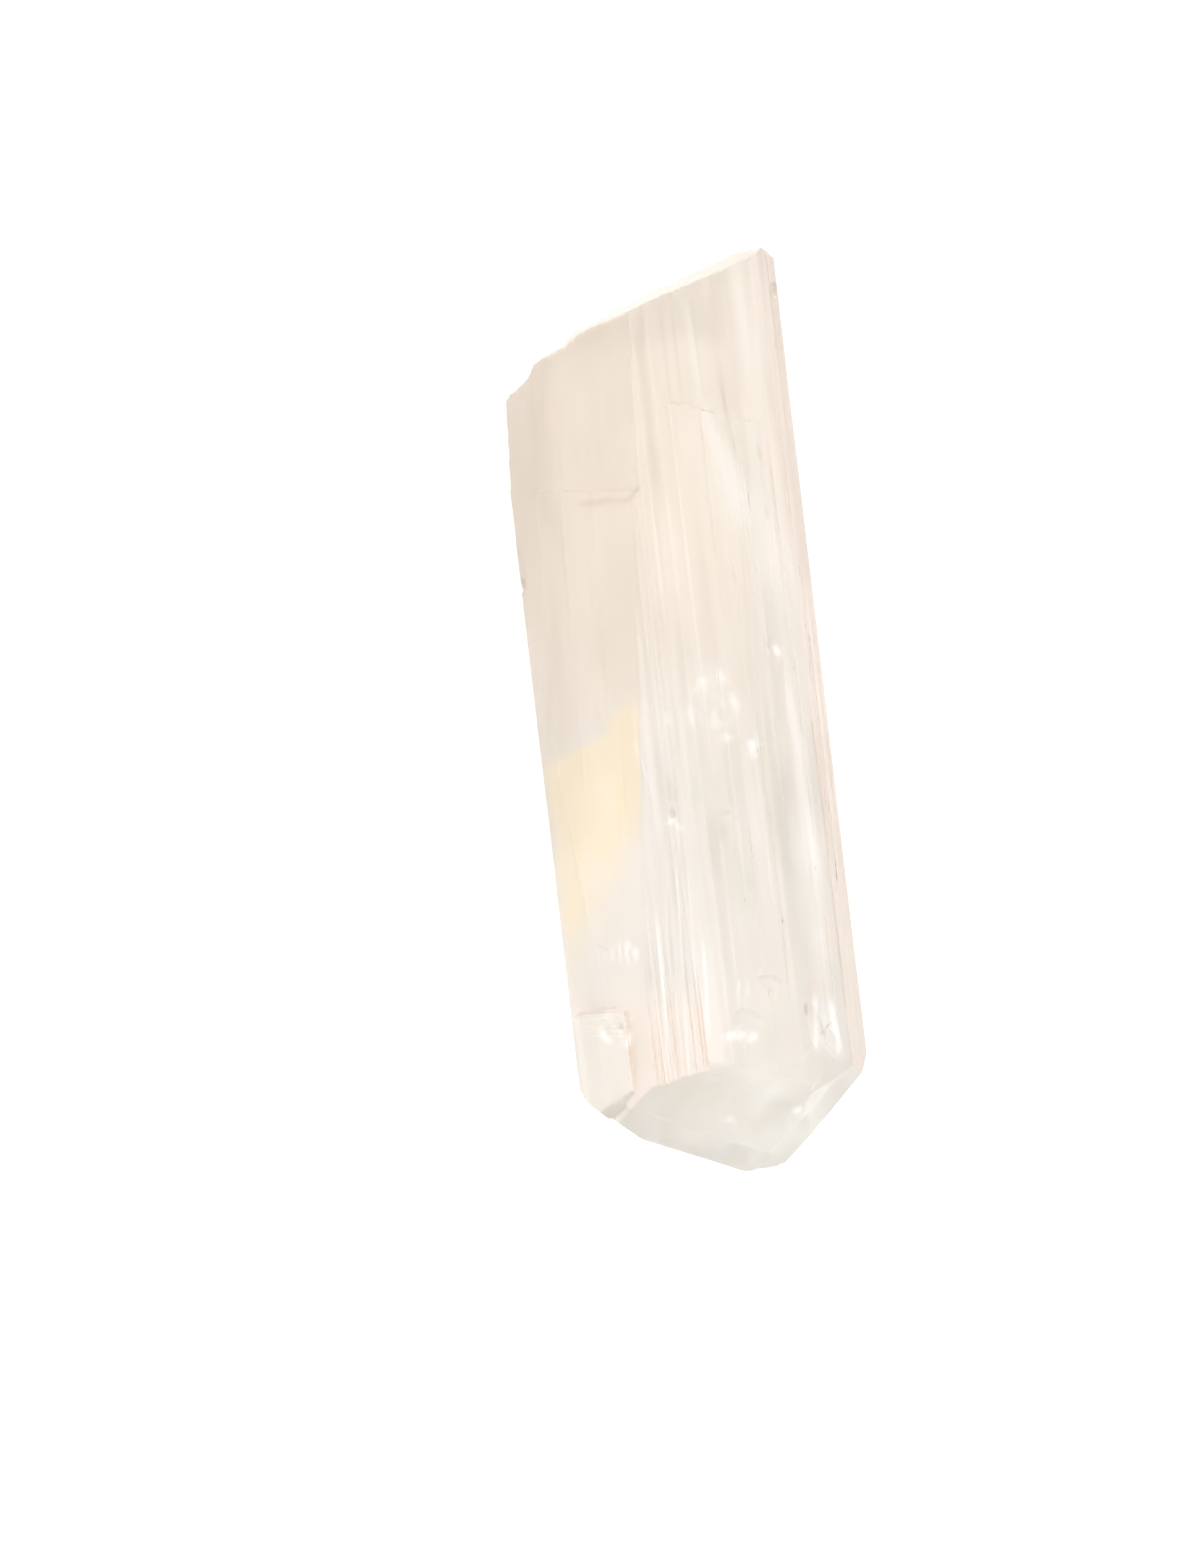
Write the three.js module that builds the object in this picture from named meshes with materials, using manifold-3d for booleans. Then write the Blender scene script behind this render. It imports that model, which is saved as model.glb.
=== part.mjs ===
// A danburite crystal lying on a prism face: a striated orthorhombic prism with a wedge-shaped tip of
// dome faces, a small crystal grown parallel beside the tip, and an uneven break where it left its rock.
//
// Millimetres, +Z up. The crystal's a axis points up, its b axis along X, and its c axis along Y with
// the tip at -Y. Places are measured from the middle of the crystal's length and width, at the height
// of its resting face. At the end the whole is moved so that the origin is the middle of its footprint.

import * as THREE from "three";
import { mergeVertices } from "three/addons/utils/BufferGeometryUtils.js";
import Module from "manifold-3d";

const wasm = await Module();
wasm.setup();

// ---------------------------------------------------------------- driving dimensions

const HALF_WIDTH = 8.75; // side face to middle
const DEPTH = 13; // resting face to crest
const CREST_X = -0.9; // the crest lies a little left of the middle
const FRONT_DOME_Y = -20.8; // where the front dome starts, at the crest
const TIP_Y = -27.8; // the wedge's ridge
const ROOT_Y = 24.2; // the break, where it crosses the crest
const STOCK_HALF = 32; // half the prism's length, before its ends are cut
const CUTTER = 90; // side of the blocks that cut flat faces
const SLIVER = 0.005; // slivers thinner than this, left by the joins and cuts, are cleared away

// Danburite's axial ratio a : b : c, from which every face takes its angle.
const AXIAL_A = 0.5444;
const AXIAL_B = 1;
const AXIAL_C = 0.4807;

// ---------------------------------------------------------------- helpers

// A repeatable random number from 0 to 1 (mulberry32).
function randomFrom(seed) {
  let state = seed;
  return () => {
    state = (state + 0x6d2b79f5) | 0;
    let t = Math.imul(state ^ (state >>> 15), 1 | state);
    t = (t + Math.imul(t ^ (t >>> 7), 61 | t)) ^ t;
    return ((t ^ (t >>> 14)) >>> 0) / 4294967296;
  };
}

const within = (random, [low, high]) => low + (high - low) * random();
const sumOf = (numbers) => numbers.reduce((sum, number) => sum + number, 0);

// The outward normal of crystal face (h k l).
function faceNormal(h, k, l) {
  return new THREE.Vector3(k / AXIAL_B, -l / AXIAL_C, h / AXIAL_A).normalize();
}

// How far a prism face (h k 0) leans from the a axis, in radians.
const leanOf = (h, k) => Math.atan2(k / AXIAL_B, h / AXIAL_A);

const face = (normal, x, y, z) => ({ normal, point: new THREE.Vector3(x, y, z) });

// The same face, known by its point above or below (x, y).
function at({ normal, point }, x, y) {
  const z = point.z - ((x - point.x) * normal.x + (y - point.y) * normal.y) / normal.z;
  return face(normal, x, y, z);
}

// The same face, cut deeper by a growth step.
function lowered({ normal, point }, step) {
  return { normal, point: point.clone().addScaledVector(normal, -step) };
}

// A face's own frame: local Z is its normal, and local Y runs towards the root.
function frameOf({ normal, point }) {
  const cAxis = new THREE.Vector3(0, 1, 0);
  const across = new THREE.Vector3().crossVectors(cAxis, normal).normalize();
  const along = new THREE.Vector3().crossVectors(normal, across);
  return new THREE.Matrix4().makeBasis(across, along, normal).setPosition(point);
}

function solidFrom(geometry) {
  const bare = geometry.clone();
  bare.deleteAttribute("normal");
  bare.deleteAttribute("uv");
  const merged = mergeVertices(bare, 1e-4);
  return new wasm.Manifold(
    new wasm.Mesh({
      numProp: 3,
      vertProperties: new Float32Array(merged.attributes.position.array),
      triVerts: new Uint32Array(merged.index.array),
    }),
  );
}

function geometryFrom(solid) {
  const mesh = solid.getMesh();
  const geometry = new THREE.BufferGeometry();
  geometry.setAttribute("position", new THREE.BufferAttribute(mesh.vertProperties, 3));
  geometry.setIndex(new THREE.BufferAttribute(mesh.triVerts, 1));
  return geometry;
}

const placed = (geometry, onFace) => solidFrom(geometry.applyMatrix4(frameOf(onFace)));

// An extrusion along Y of an outline of [x, z] points, from `end` back by `length`.
function extruded(points, end, length) {
  const outline = new THREE.Shape(points.map(([x, z]) => new THREE.Vector2(x, z)));
  const stock = new THREE.ExtrudeGeometry(outline, { depth: length, bevelEnabled: false });
  return solidFrom(stock.rotateX(Math.PI / 2).translate(0, end, 0));
}

// Everything on the outer side of a face.
function beyond(plane) {
  return placed(new THREE.BoxGeometry(CUTTER, CUTTER, CUTTER).translate(0, 0, CUTTER / 2), plane);
}

const cutFace = (solid, plane) => solid.subtract(beyond(plane));

// A narrow face along the edge between two others, `width` wide.
function bevelEdge(solid, { first, second, point, width }) {
  const normal = first.normal.clone().add(second.normal).normalize();
  const depth = (width / 2) * Math.tan(first.normal.angleTo(normal));
  return cutFace(solid, lowered({ normal, point }, depth));
}

// The outer growth layer of a face ends at an edge plane, and past that the face lies `step` lower.
function layerEdge(solid, { plane, step, edge }) {
  return solid.subtract(beyond(lowered(plane, step)).intersect(beyond(edge)));
}

// ---------------------------------------------------------------- the prism

const A = leanOf(1, 0);
const M = leanOf(1, 1);
const L = leanOf(1, 2);
const N = leanOf(1, 4);
const B = leanOf(0, 1);
const behind = (lean) => Math.PI - lean;

// Striated faces as they grow. Each has treads along one form and risers along another, which take
// `share` of its length, over a distance `across` in x. The front ones run outwards from the crest, and
// the back ones inwards from the side.
const RIGHT_FRONT = [
  { tread: M, riser: A, share: 0.16, across: 2.3, steps: 4 },
  { tread: M, riser: L, share: 0.05, across: 5.0, steps: 3 },
  { tread: M, riser: N, share: 0.2, across: 1.35, steps: 3 },
  { tread: N, riser: B, share: 0.12, across: 1.0, steps: 3 },
];
const RIGHT_BACK = [
  { tread: behind(L), riser: behind(N), share: 0.1, across: 3.1, steps: 4 },
  { tread: behind(M), riser: behind(L), share: 0.12, across: 2.6, steps: 3 },
];
const LEFT_FRONT = [
  { tread: M, riser: A, share: 0.52, across: 4.1, steps: 7 },
  { tread: L, riser: M, share: 0.05, across: 3.75, steps: 1 },
];
const LEFT_BACK = [
  { tread: behind(L), riser: behind(M), share: 0.12, across: 3.15, steps: 4 },
  { tread: behind(M), riser: behind(L), share: 0.15, across: 2.2, steps: 2 },
];

// How far one millimetre of a striated face reaches sideways, and how far it falls.
function meanCourse({ tread, riser, share }) {
  return {
    reach: (1 - share) * Math.cos(tread) + share * Math.cos(riser),
    fall: (1 - share) * Math.sin(tread) + share * Math.sin(riser),
  };
}

const lengthOf = (run) => run.across / Math.abs(meanCourse(run).reach);
const fallOf = (run) => lengthOf(run) * meanCourse(run).fall;

// The steps of one striated face, as pairs of lean and length.
function stepsOf(run, random) {
  const weights = Array.from({ length: run.steps }, () => within(random, [0.35, 1.65]));
  return weights.flatMap((weight) => {
    const length = (lengthOf(run) * weight) / sumOf(weights);
    return [
      [run.tread, length * (1 - run.share)],
      [run.riser, length * run.share],
    ];
  });
}

// One side of the section, from the crest to the resting face, as [x, z] points. The side face b(010)
// takes up whatever depth the others leave. `side` is 1 on the right and -1 on the left.
function halfSection(side, front, back, seed) {
  const random = randomFrom(seed);
  const sideFace = [B, DEPTH - sumOf([...front, ...back].map(fallOf))];
  const course = [
    ...front.flatMap((run) => stepsOf(run, random)),
    sideFace,
    ...back.flatMap((run) => stepsOf(run, random)),
  ];
  let x = CREST_X;
  let z = DEPTH;
  return course.map(([lean, length]) => {
    x += side * length * Math.cos(lean);
    z -= length * Math.sin(lean);
    return [x, z];
  });
}

function prismStock() {
  const right = halfSection(1, RIGHT_FRONT, RIGHT_BACK, 7);
  const left = halfSection(-1, LEFT_FRONT, LEFT_BACK, 23);
  return extruded([[CREST_X, DEPTH], ...right, ...left.reverse()], STOCK_HALF, 2 * STOCK_HALF);
}

// The mean planes of striated faces that follow each other from (x, z).
function meanFaces(side, runs, x, z) {
  let corner = [x, z];
  return runs.map((run) => {
    const { reach, fall } = meanCourse(run);
    const plane = face(new THREE.Vector3(side * fall, 0, reach).normalize(), corner[0], 0, corner[1]);
    corner = [corner[0] + side * Math.sign(reach) * run.across, corner[1] - fallOf(run)];
    return plane;
  });
}

const backHeight = (runs) => sumOf(runs.map(fallOf));

const CREST_FACE = face(faceNormal(1, 0, 0), CREST_X, 0, DEPTH);
const SIDE_FACE = face(faceNormal(0, 1, 0), HALF_WIDTH, 0, 0);
const [CREST_BAND] = meanFaces(-1, LEFT_FRONT, CREST_X, DEPTH);
const [, RIGHT_FACE, SHOULDER, RIGHT_EDGE] = meanFaces(1, RIGHT_FRONT, CREST_X, DEPTH);
const [RIGHT_LOWER, RIGHT_UNDER] = meanFaces(1, RIGHT_BACK, HALF_WIDTH, backHeight(RIGHT_BACK));
const [LEFT_LOWER, LEFT_UNDER] = meanFaces(-1, LEFT_BACK, -HALF_WIDTH, backHeight(LEFT_BACK));

// ---------------------------------------------------------------- the left face

// The broad left face leans like l(120), and also falls a little towards the root, so its upper edge
// runs slantwise, from near the side at the tip to the crest at the root.
const LEFT_FALL = 0.075;
const LEFT_FACE = face(new THREE.Vector3(-Math.tan(L), LEFT_FALL, 1).normalize(), -4.2, -16.6, 12);

const steepFace = (x, y, turnX, turnY) => face(new THREE.Vector3(turnX, turnY, 0).normalize(), x, y, 0);

const LEFT_LAYERS = [
  { plane: LEFT_FACE, step: 0.1, edge: steepFace(-2.6, 13.8, 0.16, 1) },
  { plane: LEFT_FACE, step: 0.1, edge: steepFace(-7.6, 2, -1, 0.035) },
  { plane: LEFT_FACE, step: 0.16, edge: steepFace(-6.9, -13, -1, -0.09) },
];

const withLeftFace = (solid) => LEFT_LAYERS.reduce(layerEdge, cutFace(solid, LEFT_FACE));

// Growth layers on the faces behind.
const BACK_LAYERS = [
  { plane: RIGHT_LOWER, step: 0.14, edge: steepFace(7, -15, 0.5, -1) },
  { plane: RIGHT_UNDER, step: 0.12, edge: steepFace(4.4, 12, 0.3, 1) },
  { plane: LEFT_LOWER, step: 0.14, edge: steepFace(-7, 16, 0.4, 1) },
  { plane: LEFT_LOWER, step: 0.12, edge: steepFace(-7, -18, -0.5, -1) },
];

const withBackLayers = (solid) => BACK_LAYERS.reduce(layerEdge, solid);

// ---------------------------------------------------------------- the tip

const FRONT_DOME = face(faceNormal(1, 0, 1), CREST_X, FRONT_DOME_Y, DEPTH);
const RIDGE = at(FRONT_DOME, CREST_X, TIP_Y).point;
const BACK_DOME = face(faceNormal(-1, 0, 1), RIDGE.x, RIDGE.y, RIDGE.z);
const RIGHT_DOME = face(faceNormal(0, 2, 1), 8.28, -22.43, 0);
const LEFT_DOME = face(faceNormal(0, -2, 1), -6.7, -23.55, 0);
const LOW_DOME = face(faceNormal(0, -1, 1), -4.6, -25.17, 0);
const RIGHT_PYRAMID = face(faceNormal(1, 2, 1), 4.9, -23.4, 9.6);
const BACK_PYRAMID = face(faceNormal(-1, -2, 1), -6.2, -22.3, 2.6);
const TIP_FACES = [FRONT_DOME, BACK_DOME, RIGHT_DOME, LEFT_DOME, LOW_DOME, RIGHT_PYRAMID, BACK_PYRAMID];

const CREST_END = new THREE.Vector3(CREST_X, FRONT_DOME_Y, DEPTH);
const RIGHT_CORNER = new THREE.Vector3(HALF_WIDTH, -21.98, 6);
const TIP_BEVELS = [
  { first: CREST_FACE, second: FRONT_DOME, point: CREST_END, width: 0.75 },
  { first: RIGHT_FACE, second: FRONT_DOME, point: CREST_END, width: 0.75 },
  { first: SIDE_FACE, second: RIGHT_DOME, point: RIGHT_CORNER, width: 1.1 },
];

// Growth layers that end short of the wedge's edges.
const TIP_LAYERS = [
  { plane: FRONT_DOME, step: 0.16, edge: face(faceNormal(0, 2, 1), 6.1, -22.9, 0) },
  { plane: FRONT_DOME, step: 0.1, edge: face(faceNormal(0, -1, 1), -2.4, -24.4, 0) },
  { plane: RIGHT_FACE, step: 0.16, edge: face(faceNormal(0, 2, 1), 7.1, -20.9, 0) },
  { plane: RIGHT_FACE, step: 0.08, edge: face(faceNormal(0, 2, 1), 6.2, -19.6, 0) },
  { plane: RIGHT_FACE, step: 0.06, edge: steepFace(5.2, 17.4, 1, 3) },
];

function withTip(solid) {
  const wedge = TIP_FACES.reduce(cutFace, solid);
  return TIP_LAYERS.reduce(layerEdge, TIP_BEVELS.reduce(bevelEdge, wedge));
}

// ---------------------------------------------------------------- the parallel crystal beside the tip

const TWIN_X = -5.45; // its right side, which stands sharp against the left face
const TWIN_PROUD = 0.35; // its top edge, above the left face
const TWIN_START_Y = -16.9; // its upper end
const TWIN_LENGTH = 6.4;
const TWIN_STEPS = 3; // fine steps by which its upper end climbs
const TWIN_STEP_LENGTH = 0.5;
const TWIN_STEP_HEIGHT = 0.13;
const TWIN_SLOPE_Y = -17.3; // where the slope at its upper end reaches its top edge
const TWIN_DOME_Y = -21.7; // where its own front dome starts

const TWIN_Z = at(LEFT_FACE, TWIN_X, TWIN_START_Y - TWIN_LENGTH / 2).point.z + TWIN_PROUD;
const TWIN_TOP = face(faceNormal(1, -1, 0), TWIN_X, 0, TWIN_Z);

// Its section, as distances from its top right edge.
const TWIN_OUTLINE = [
  [0, -6],
  [0, -0.12],
  [-0.12, 0],
  [-1.9, -1.03],
  [-2.75, -1.95],
  [-3.1, -2.72],
  [-3.1, -6],
];
const TWIN_ENDS = [
  face(faceNormal(1, 0, -1), TWIN_X, TWIN_SLOPE_Y, TWIN_Z),
  face(faceNormal(1, 0, 1), TWIN_X, TWIN_DOME_Y, TWIN_Z),
  face(faceNormal(0, -2, 1), -7.55, -22.95, 0),
];

function parallelCrystal() {
  const outline = TWIN_OUTLINE.map(([x, z]) => [TWIN_X + x, TWIN_Z + z]);
  let crystal = TWIN_ENDS.reduce(cutFace, extruded(outline, TWIN_START_Y, TWIN_LENGTH));
  for (let i = 1; i <= TWIN_STEPS; i += 1) {
    const edge = steepFace(TWIN_X, TWIN_START_Y - i * TWIN_STEP_LENGTH, 0.1, 1);
    crystal = layerEdge(crystal, { plane: TWIN_TOP, step: (TWIN_STEPS + 1 - i) * TWIN_STEP_HEIGHT, edge });
  }
  return crystal;
}

// ---------------------------------------------------------------- grooves

const OPEN_SIDE = 2; // how far a groove's cutter stands clear of the face

// A long pointed groove's cutter. Its widest place, at `waist` of its length, is `depth` deep.
function groove(onFace, { length, width, depth, waist }) {
  const outline = [
    [0, 0],
    [1, length * waist],
    [0, length],
  ];
  const profile = outline.map(([radius, along]) => new THREE.Vector2(radius, along));
  const shape = new THREE.LatheGeometry(profile, 4).scale(width / 2, 1, depth);
  const position = shape.attributes.position;
  for (let i = 0; i < position.count; i += 1) {
    if (position.getZ(i) > depth / 2) position.setZ(i, OPEN_SIDE);
  }
  return placed(shape, onFace);
}

// Where the striations lie on each face: how many, the places in x and y where they start, and their
// lengths, widths and depths. They are strongest beside the crest, where they run out at the tip.
const DEEP = { width: [0.24, 0.46], depth: [0.12, 0.24] };
const MIDDLING = { width: [0.2, 0.5], depth: [0.06, 0.14] };
const FAINT = { width: [0.25, 0.5], depth: [0.04, 0.09] };
const GROOVES = [
  { plane: CREST_BAND, ...DEEP, count: 13, x: [-4.2, -0.8], y: [-26, -23], length: [8, 19] },
  { plane: CREST_BAND, ...FAINT, count: 9, x: [-3.6, -0.7], y: [-14, 8], length: [9, 20] },
  { plane: RIGHT_FACE, ...FAINT, count: 12, x: [0.2, 6], y: [-20, 10], length: [8, 22] },
  { plane: SHOULDER, ...MIDDLING, count: 5, x: [6.4, 7.7], y: [-24, 8], length: [9, 24] },
  { plane: RIGHT_EDGE, ...MIDDLING, count: 5, x: [7.8, 8.6], y: [-25, 12], length: [9, 24] },
  { plane: RIGHT_LOWER, ...MIDDLING, count: 12, x: [5.8, 8.6], y: [-25, 12], length: [9, 26] },
  { plane: RIGHT_UNDER, ...FAINT, count: 7, x: [3.3, 5.5], y: [-24, 10], length: [9, 22] },
  { plane: LEFT_LOWER, ...MIDDLING, count: 12, x: [-8.5, -5.7], y: [-25, 12], length: [9, 26] },
  { plane: LEFT_UNDER, ...FAINT, count: 5, x: [-5.4, -3.7], y: [-24, 10], length: [9, 22] },
  { plane: LEFT_FACE, ...FAINT, count: 7, x: [-7.4, -4], y: [-14, 12], length: [7, 16] },
];

function groovesOf({ plane, count, x, y, length, width, depth }, random) {
  return Array.from({ length: count }, () =>
    groove(at(plane, within(random, x), within(random, y)), {
      length: within(random, length),
      width: within(random, width),
      depth: within(random, depth),
      waist: within(random, [0.2, 0.5]),
    }),
  );
}

// ---------------------------------------------------------------- dents and chips

const DENTS = [
  { plane: RIGHT_FACE, x: 5.7, y: -19.3, width: 0.9, length: 3.1, depth: 0.3, turn: 0.12 },
  { plane: RIGHT_FACE, x: 6.7, y: -20.5, width: 0.75, length: 2.5, depth: 0.26, turn: 0.2 },
  { plane: RIGHT_FACE, x: 1.7, y: -18.1, width: 2.1, length: 1.1, depth: 0.2, turn: -0.35 },
  { plane: RIGHT_FACE, x: 3.2, y: -16.2, width: 1.7, length: 0.8, depth: 0.14, turn: -0.15 },
  { plane: CREST_BAND, x: -1.4, y: -5.5, width: 0.5, length: 0.8, depth: 0.16, turn: 0 },
  { plane: LEFT_FACE, x: -6.4, y: -13.2, width: 1.0, length: 0.5, depth: 0.1, turn: -0.5 },
];

const DENT_DIP = 0.45; // the part of a dent cutter's half height that lies below the face

// A shallow oval dent's cutter: an ellipsoid whose cap dips `depth` below the face.
function dent({ plane, x, y, width, length, depth, turn }) {
  const tall = depth / DENT_DIP;
  const spread = 2 * Math.sqrt(1 - (1 - DENT_DIP) ** 2);
  const shape = new THREE.IcosahedronGeometry(1, 2)
    .scale(width / spread, length / spread, tall)
    .rotateZ(turn)
    .translate(0, 0, tall - depth);
  return placed(shape, at(plane, x, y));
}

// Flakes knocked off the edges: the centre and radius of the ball that each one is taken off with.
const CHIPS = [
  { centre: [-8.35, 22.4, 4.4], radius: 1.1 },
  { centre: [-8.75, 9.1, 5.1], radius: 0.45 },
  { centre: [8.9, 24.9, 6.4], radius: 0.7 },
  { centre: [8.95, 3.4, 5.4], radius: 0.4 },
  { centre: [8.9, -12.6, 5.0], radius: 0.45 },
  { centre: [2.95, -27.9, 4.9], radius: 0.5 },
  { centre: [-1.2, -27.75, 4.2], radius: 0.45 },
  { centre: [7.0, 26.9, 9.3], radius: 0.6 },
  { centre: [-5.6, -24.9, 3.1], radius: 0.6 },
];

function chip({ centre, radius }, random) {
  const turn = () => within(random, [0, Math.PI]);
  const shape = new THREE.IcosahedronGeometry(radius, 1).rotateX(turn()).rotateY(turn()).rotateZ(turn());
  return solidFrom(shape.translate(...centre));
}

// ---------------------------------------------------------------- the broken root

const BREAK_ORIGIN = new THREE.Vector2(-9.5, 1); // where the break started, as x and z
const BREAK_CELLS_X = 46; // the grid that carries the break's shape
const BREAK_CELLS_Z = 34;

// The flat pieces of the break, each by its slopes in x and z and its rise. The lowest one holds at
// each place, so they meet in sharp ridges.
const BREAK_FACETS = [
  [0.36, -0.12, 0.9],
  [0.12, -0.42, 2.7],
  [0.66, -0.06, 2.75],
  [0.1, 0.42, 2.1],
  [0.5, 0.34, 2.5],
  [-0.7, -0.1, 9.35],
];

// Where the break stepped from one level to the next: a point on the step's line in x and z, the
// direction in which the break drops, and how far it drops.
const BREAK_STEPS = [
  { x: -3.4, z: 9, across: [-1, 0.3], drop: 0.45 },
  { x: 1.8, z: 5.2, across: [-0.15, -1], drop: 0.6 },
  { x: 5.6, z: 3, across: [0.5, -1], drop: 0.8 },
  { x: -6.6, z: 3.4, across: [-0.6, -0.8], drop: 0.6 },
];
const BREAK_STEP_WIDTH = 0.9;

function stepDown({ x: stepX, z: stepZ, across, drop }, x, z) {
  const [acrossX, acrossZ] = across;
  const past = ((x - stepX) * acrossX + (z - stepZ) * acrossZ) / Math.hypot(acrossX, acrossZ);
  const wander = 0.35 * Math.sin(0.9 * (x * acrossZ - z * acrossX) + stepX);
  return -drop * THREE.MathUtils.smoothstep(past + wander, 0, BREAK_STEP_WIDTH);
}

// The break's place along c at a point of the section: its flat pieces and steps, with conchoidal
// ripples and with hackles that fan out from where it started.
function breakY(x, z) {
  const facets = BREAK_FACETS.map(([slopeX, slopeZ, rise]) => slopeX * x + slopeZ * (z - DEPTH / 2) + rise);
  const steps = BREAK_STEPS.map((step) => stepDown(step, x, z));
  const ray = new THREE.Vector2(x, z).sub(BREAK_ORIGIN);
  const radius = ray.length();
  const ripple = 0.09 * Math.sin(2.3 * radius + 0.6 * Math.sin(0.9 * z)) * Math.exp(-radius / 14);
  const hackle = 0.14 * Math.abs(Math.sin(8 * ray.angle() + 0.12 * radius)) * Math.min(1, radius / 9);
  return ROOT_Y + Math.min(...facets) + sumOf(steps) + ripple + hackle;
}

// A block whose near side is the break.
function breakCutter() {
  const far = STOCK_HALF + 1;
  const block = new THREE.BoxGeometry(2 * HALF_WIDTH + 3, 1, DEPTH + 3, BREAK_CELLS_X, 1, BREAK_CELLS_Z);
  block.translate(0, 0, DEPTH / 2);
  const position = block.attributes.position;
  for (let i = 0; i < position.count; i += 1) {
    position.setY(i, position.getY(i) < 0 ? breakY(position.getX(i), position.getZ(i)) : far);
  }
  return solidFrom(block);
}

// ---------------------------------------------------------------- the crystal

function crystalSolid() {
  const random = randomFrom(41);
  const prism = withBackLayers(withLeftFace(prismStock()));
  const grown = withTip(prism).add(parallelCrystal());
  const cutters = [
    ...GROOVES.flatMap((field) => groovesOf(field, random)),
    ...DENTS.map(dent),
    ...CHIPS.map((flake) => chip(flake, random)),
    breakCutter(),
  ];
  const removed = cutters.reduce((all, cutter) => all.add(cutter));
  return grown.subtract(removed).asOriginal().simplify(SLIVER);
}

const geometry = geometryFrom(crystalSolid());
geometry.computeBoundingBox();
const middle = geometry.boundingBox.getCenter(new THREE.Vector3());
geometry.translate(-middle.x, -middle.y, -geometry.boundingBox.min.z);

const danburite = new THREE.MeshStandardMaterial({ color: 0xf4ecde, roughness: 0.3, metalness: 0 });
const crystal = new THREE.Mesh(geometry, danburite);
crystal.name = "crystal";

const part = new THREE.Group();
part.add(crystal);

export default part;
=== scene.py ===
"""The looks of a danburite crystal that lies on its back prism face, seen from straight above.

Lengths in this file are millimetres, in the frame's own axes: +X across the crystal, +Y from its
wedge-shaped tip to its broken root, +Z up. They turn into metres where they meet Blender.
"""
import itertools
import math
from typing import NamedTuple

import bmesh
import bpy
import numpy as np
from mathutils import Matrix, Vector


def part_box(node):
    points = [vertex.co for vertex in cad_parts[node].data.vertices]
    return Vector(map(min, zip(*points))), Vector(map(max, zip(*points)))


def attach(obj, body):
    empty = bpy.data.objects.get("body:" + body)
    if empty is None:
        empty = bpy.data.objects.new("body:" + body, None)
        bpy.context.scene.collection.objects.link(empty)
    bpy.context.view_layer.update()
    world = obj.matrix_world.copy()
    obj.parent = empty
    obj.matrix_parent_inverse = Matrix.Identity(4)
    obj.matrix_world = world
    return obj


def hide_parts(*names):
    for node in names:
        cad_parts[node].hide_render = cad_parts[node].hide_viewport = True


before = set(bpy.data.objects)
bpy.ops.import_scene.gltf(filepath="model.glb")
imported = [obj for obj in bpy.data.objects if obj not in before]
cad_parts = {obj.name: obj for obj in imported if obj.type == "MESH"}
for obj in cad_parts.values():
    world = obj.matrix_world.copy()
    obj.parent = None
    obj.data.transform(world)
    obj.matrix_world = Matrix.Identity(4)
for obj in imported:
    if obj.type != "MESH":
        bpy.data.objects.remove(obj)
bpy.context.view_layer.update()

MM = 0.001

# ------------------------------------------------------------------ the photograph's view

FRAME_HEIGHT = 93.4  # what the picture takes in, from its top to its bottom, at the crystal
ROLL = math.radians(-6.7)  # the crystal's top leans left in the picture
LOOK_AT = (-5.31, -2.79, 6.0)  # what lies in the middle of the picture
LENS = 135.0
SENSOR = 36.0

# ------------------------------------------------------------------ where things lie on the crystal

LEFT_EDGE = (-4.2, -16.6)  # a point on the left face's right boundary
LEFT_EDGE_SLOPE = 0.0914  # how far that boundary runs to the right for each millimetre up
CREST_RIGHT_X = 0.4  # where the striated crest gives way to the smooth right face
BAND_X = 7.7  # the narrow right band's left boundary
TWIN_X = -5.45  # the small parallel crystal's right side and upper end
TWIN_Y = -16.9
TIP_START_Y = -19.0  # every tip face lies below this
ROOT_START_Y = 16.0  # and all of the break above this
BREAK_ORIGIN = (-9.5, 1.0)  # where the break started, as x and z

# ------------------------------------------------------------------ helpers


def smoothstep(value, low, high):
    """0 below `low`, 1 above `high`, and an eased rise between them."""
    t = np.clip((value - low) / (high - low), 0, 1)
    return t * t * (3 - 2 * t)


def mix(first, second, share):
    return first + (second - first) * share


TABLE = 64  # how many lattice cells the noise has each way before it repeats


def noise(seed, *coords):
    """Smooth random numbers from -1 to 1, with one lattice cell to each unit of the coordinates."""
    table = np.random.default_rng(seed).uniform(-1, 1, (TABLE,) * len(coords))
    cells = [np.floor(c).astype(int) for c in coords]
    eased = [smoothstep(c - cell, 0, 1) for c, cell in zip(coords, cells)]
    total = 0
    for corner in itertools.product((0, 1), repeat=len(coords)):
        weight = math.prod(t if k else 1 - t for t, k in zip(eased, corner))
        total = total + weight * table[tuple((cell + k) % TABLE for cell, k in zip(cells, corner))]
    return total


# ------------------------------------------------------------------ the fine mesh

ACROSS_STEP = 0.1  # how finely the front is cut across the crystal
ACROSS_STEP_BACK = 0.5
UP_STEP = 0.25  # and the steep sides from bottom to top
TIP_STEP = 0.2  # and everything lengthwise: the tip, the prism and the break
PRISM_STEP = 0.35
BREAK_STEP = 0.3

MERGE_WITHIN = 1e-7  # in metres: points this near each other are one
CUT_WITHIN = 1e-8  # in metres: points this near a cut lie on it
FLAT_ANGLE = 0.002  # in radians: faces that turn less than this are one flat face
SHARP_ANGLE = math.radians(14)  # edges that turn more than this stay sharp

# How much of a face's normal points up decides how the face is cut.
FRONT_ABOVE = 0.15
PATCH_ABOVE = 0.3
BACK_BELOW = -0.15
STEEP_BELOW = 0.5  # up or down


class Patch(NamedTuple):
    """An oval on the front: its middle and its reach in x and y, and how far it is turned."""

    middle: tuple
    reach: tuple
    turn: float = 0.0


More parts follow.
